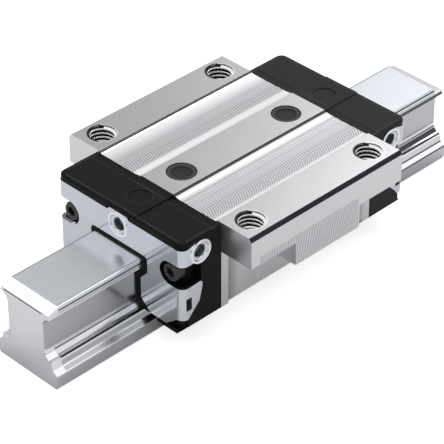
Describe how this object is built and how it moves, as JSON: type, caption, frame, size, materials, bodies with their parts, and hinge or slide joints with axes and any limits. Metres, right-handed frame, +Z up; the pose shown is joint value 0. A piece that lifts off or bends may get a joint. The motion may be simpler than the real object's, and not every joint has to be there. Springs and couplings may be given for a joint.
{
  "type": "linear guide rail",
  "caption": "Flanged ball-runner carriage with end caps, seals and end plates, sliding on a profiled steel guide rail with a clipped-on cover strip.",
  "frame": {"origin": "centre of the rail's foot, under the middle of its length, with the carriage at mid-travel", "axes": "+X along the rail, +Y across it towards the left flange, +Z up, out of the carriage's mounting face"},
  "size_m": [0.152, 0.07, 0.036],
  "materials": {
    "rail_steel": "ground hardened steel",
    "strip_steel": "smooth rolled spring steel",
    "block_steel": "milled and ground steel",
    "insert_steel": "ground hardened steel",
    "ball_steel": "polished bearing steel",
    "guide_plastic": "moulded, matte",
    "plug_plastic": "moulded, matte",
    "cap_plastic": "moulded, satin",
    "seal_rubber": "smooth rubber",
    "plate_steel": "cold rolled stainless sheet",
    "cap_screw_steel": "blackened",
    "port_screw_steel": "bright plated"
  },
  "bodies": {
    "rail": {"guide_rail": "rail_steel", "rail_cover_strip": "strip_steel"},
    "carriage": {"ball_retainer_lower_left": "guide_plastic", "ball_retainer_lower_right": "guide_plastic", "ball_retainer_middle_left": "guide_plastic", "ball_retainer_middle_right": "guide_plastic", "ball_retainer_upper_left": "guide_plastic", "ball_retainer_upper_right": "guide_plastic", "ball_row_lower_left": "ball_steel", "ball_row_lower_right": "ball_steel", "ball_row_upper_left": "ball_steel", "ball_row_upper_right": "ball_steel", "cap_screw_left_front": "cap_screw_steel", "cap_screw_left_rear": "cap_screw_steel", "cap_screw_right_front": "cap_screw_steel", "cap_screw_right_rear": "cap_screw_steel", "carriage_body": "block_steel", "centre_hole_plug_front": "plug_plastic", "centre_hole_plug_rear": "plug_plastic", "end_cap_front": "cap_plastic", "end_cap_rear": "cap_plastic", "end_plate_front": "plate_steel", "end_plate_rear": "plate_steel", "end_seal_front": "seal_rubber", "end_seal_rear": "seal_rubber", "port_screw_centre_front": "port_screw_steel", "port_screw_centre_rear": "port_screw_steel", "port_screw_left_front": "port_screw_steel", "port_screw_left_rear": "port_screw_steel", "port_screw_right_front": "port_screw_steel", "port_screw_right_rear": "port_screw_steel", "race_insert_left": "insert_steel", "race_insert_right": "insert_steel", "return_guide_left_front": "guide_plastic", "return_guide_left_rear": "guide_plastic", "return_guide_right_front": "guide_plastic", "return_guide_right_rear": "guide_plastic", "return_tube_lower_left": "guide_plastic", "return_tube_lower_right": "guide_plastic", "return_tube_upper_left": "guide_plastic", "return_tube_upper_right": "guide_plastic", "side_seal_left": "seal_rubber", "side_seal_right": "seal_rubber"}
  },
  "joints": [
    {"name": "carriage_slide", "type": "slide", "parent": "rail", "child": "carriage", "axis": [1, 0, 0], "range_m": [-0.03, 0.03]}
  ]
}
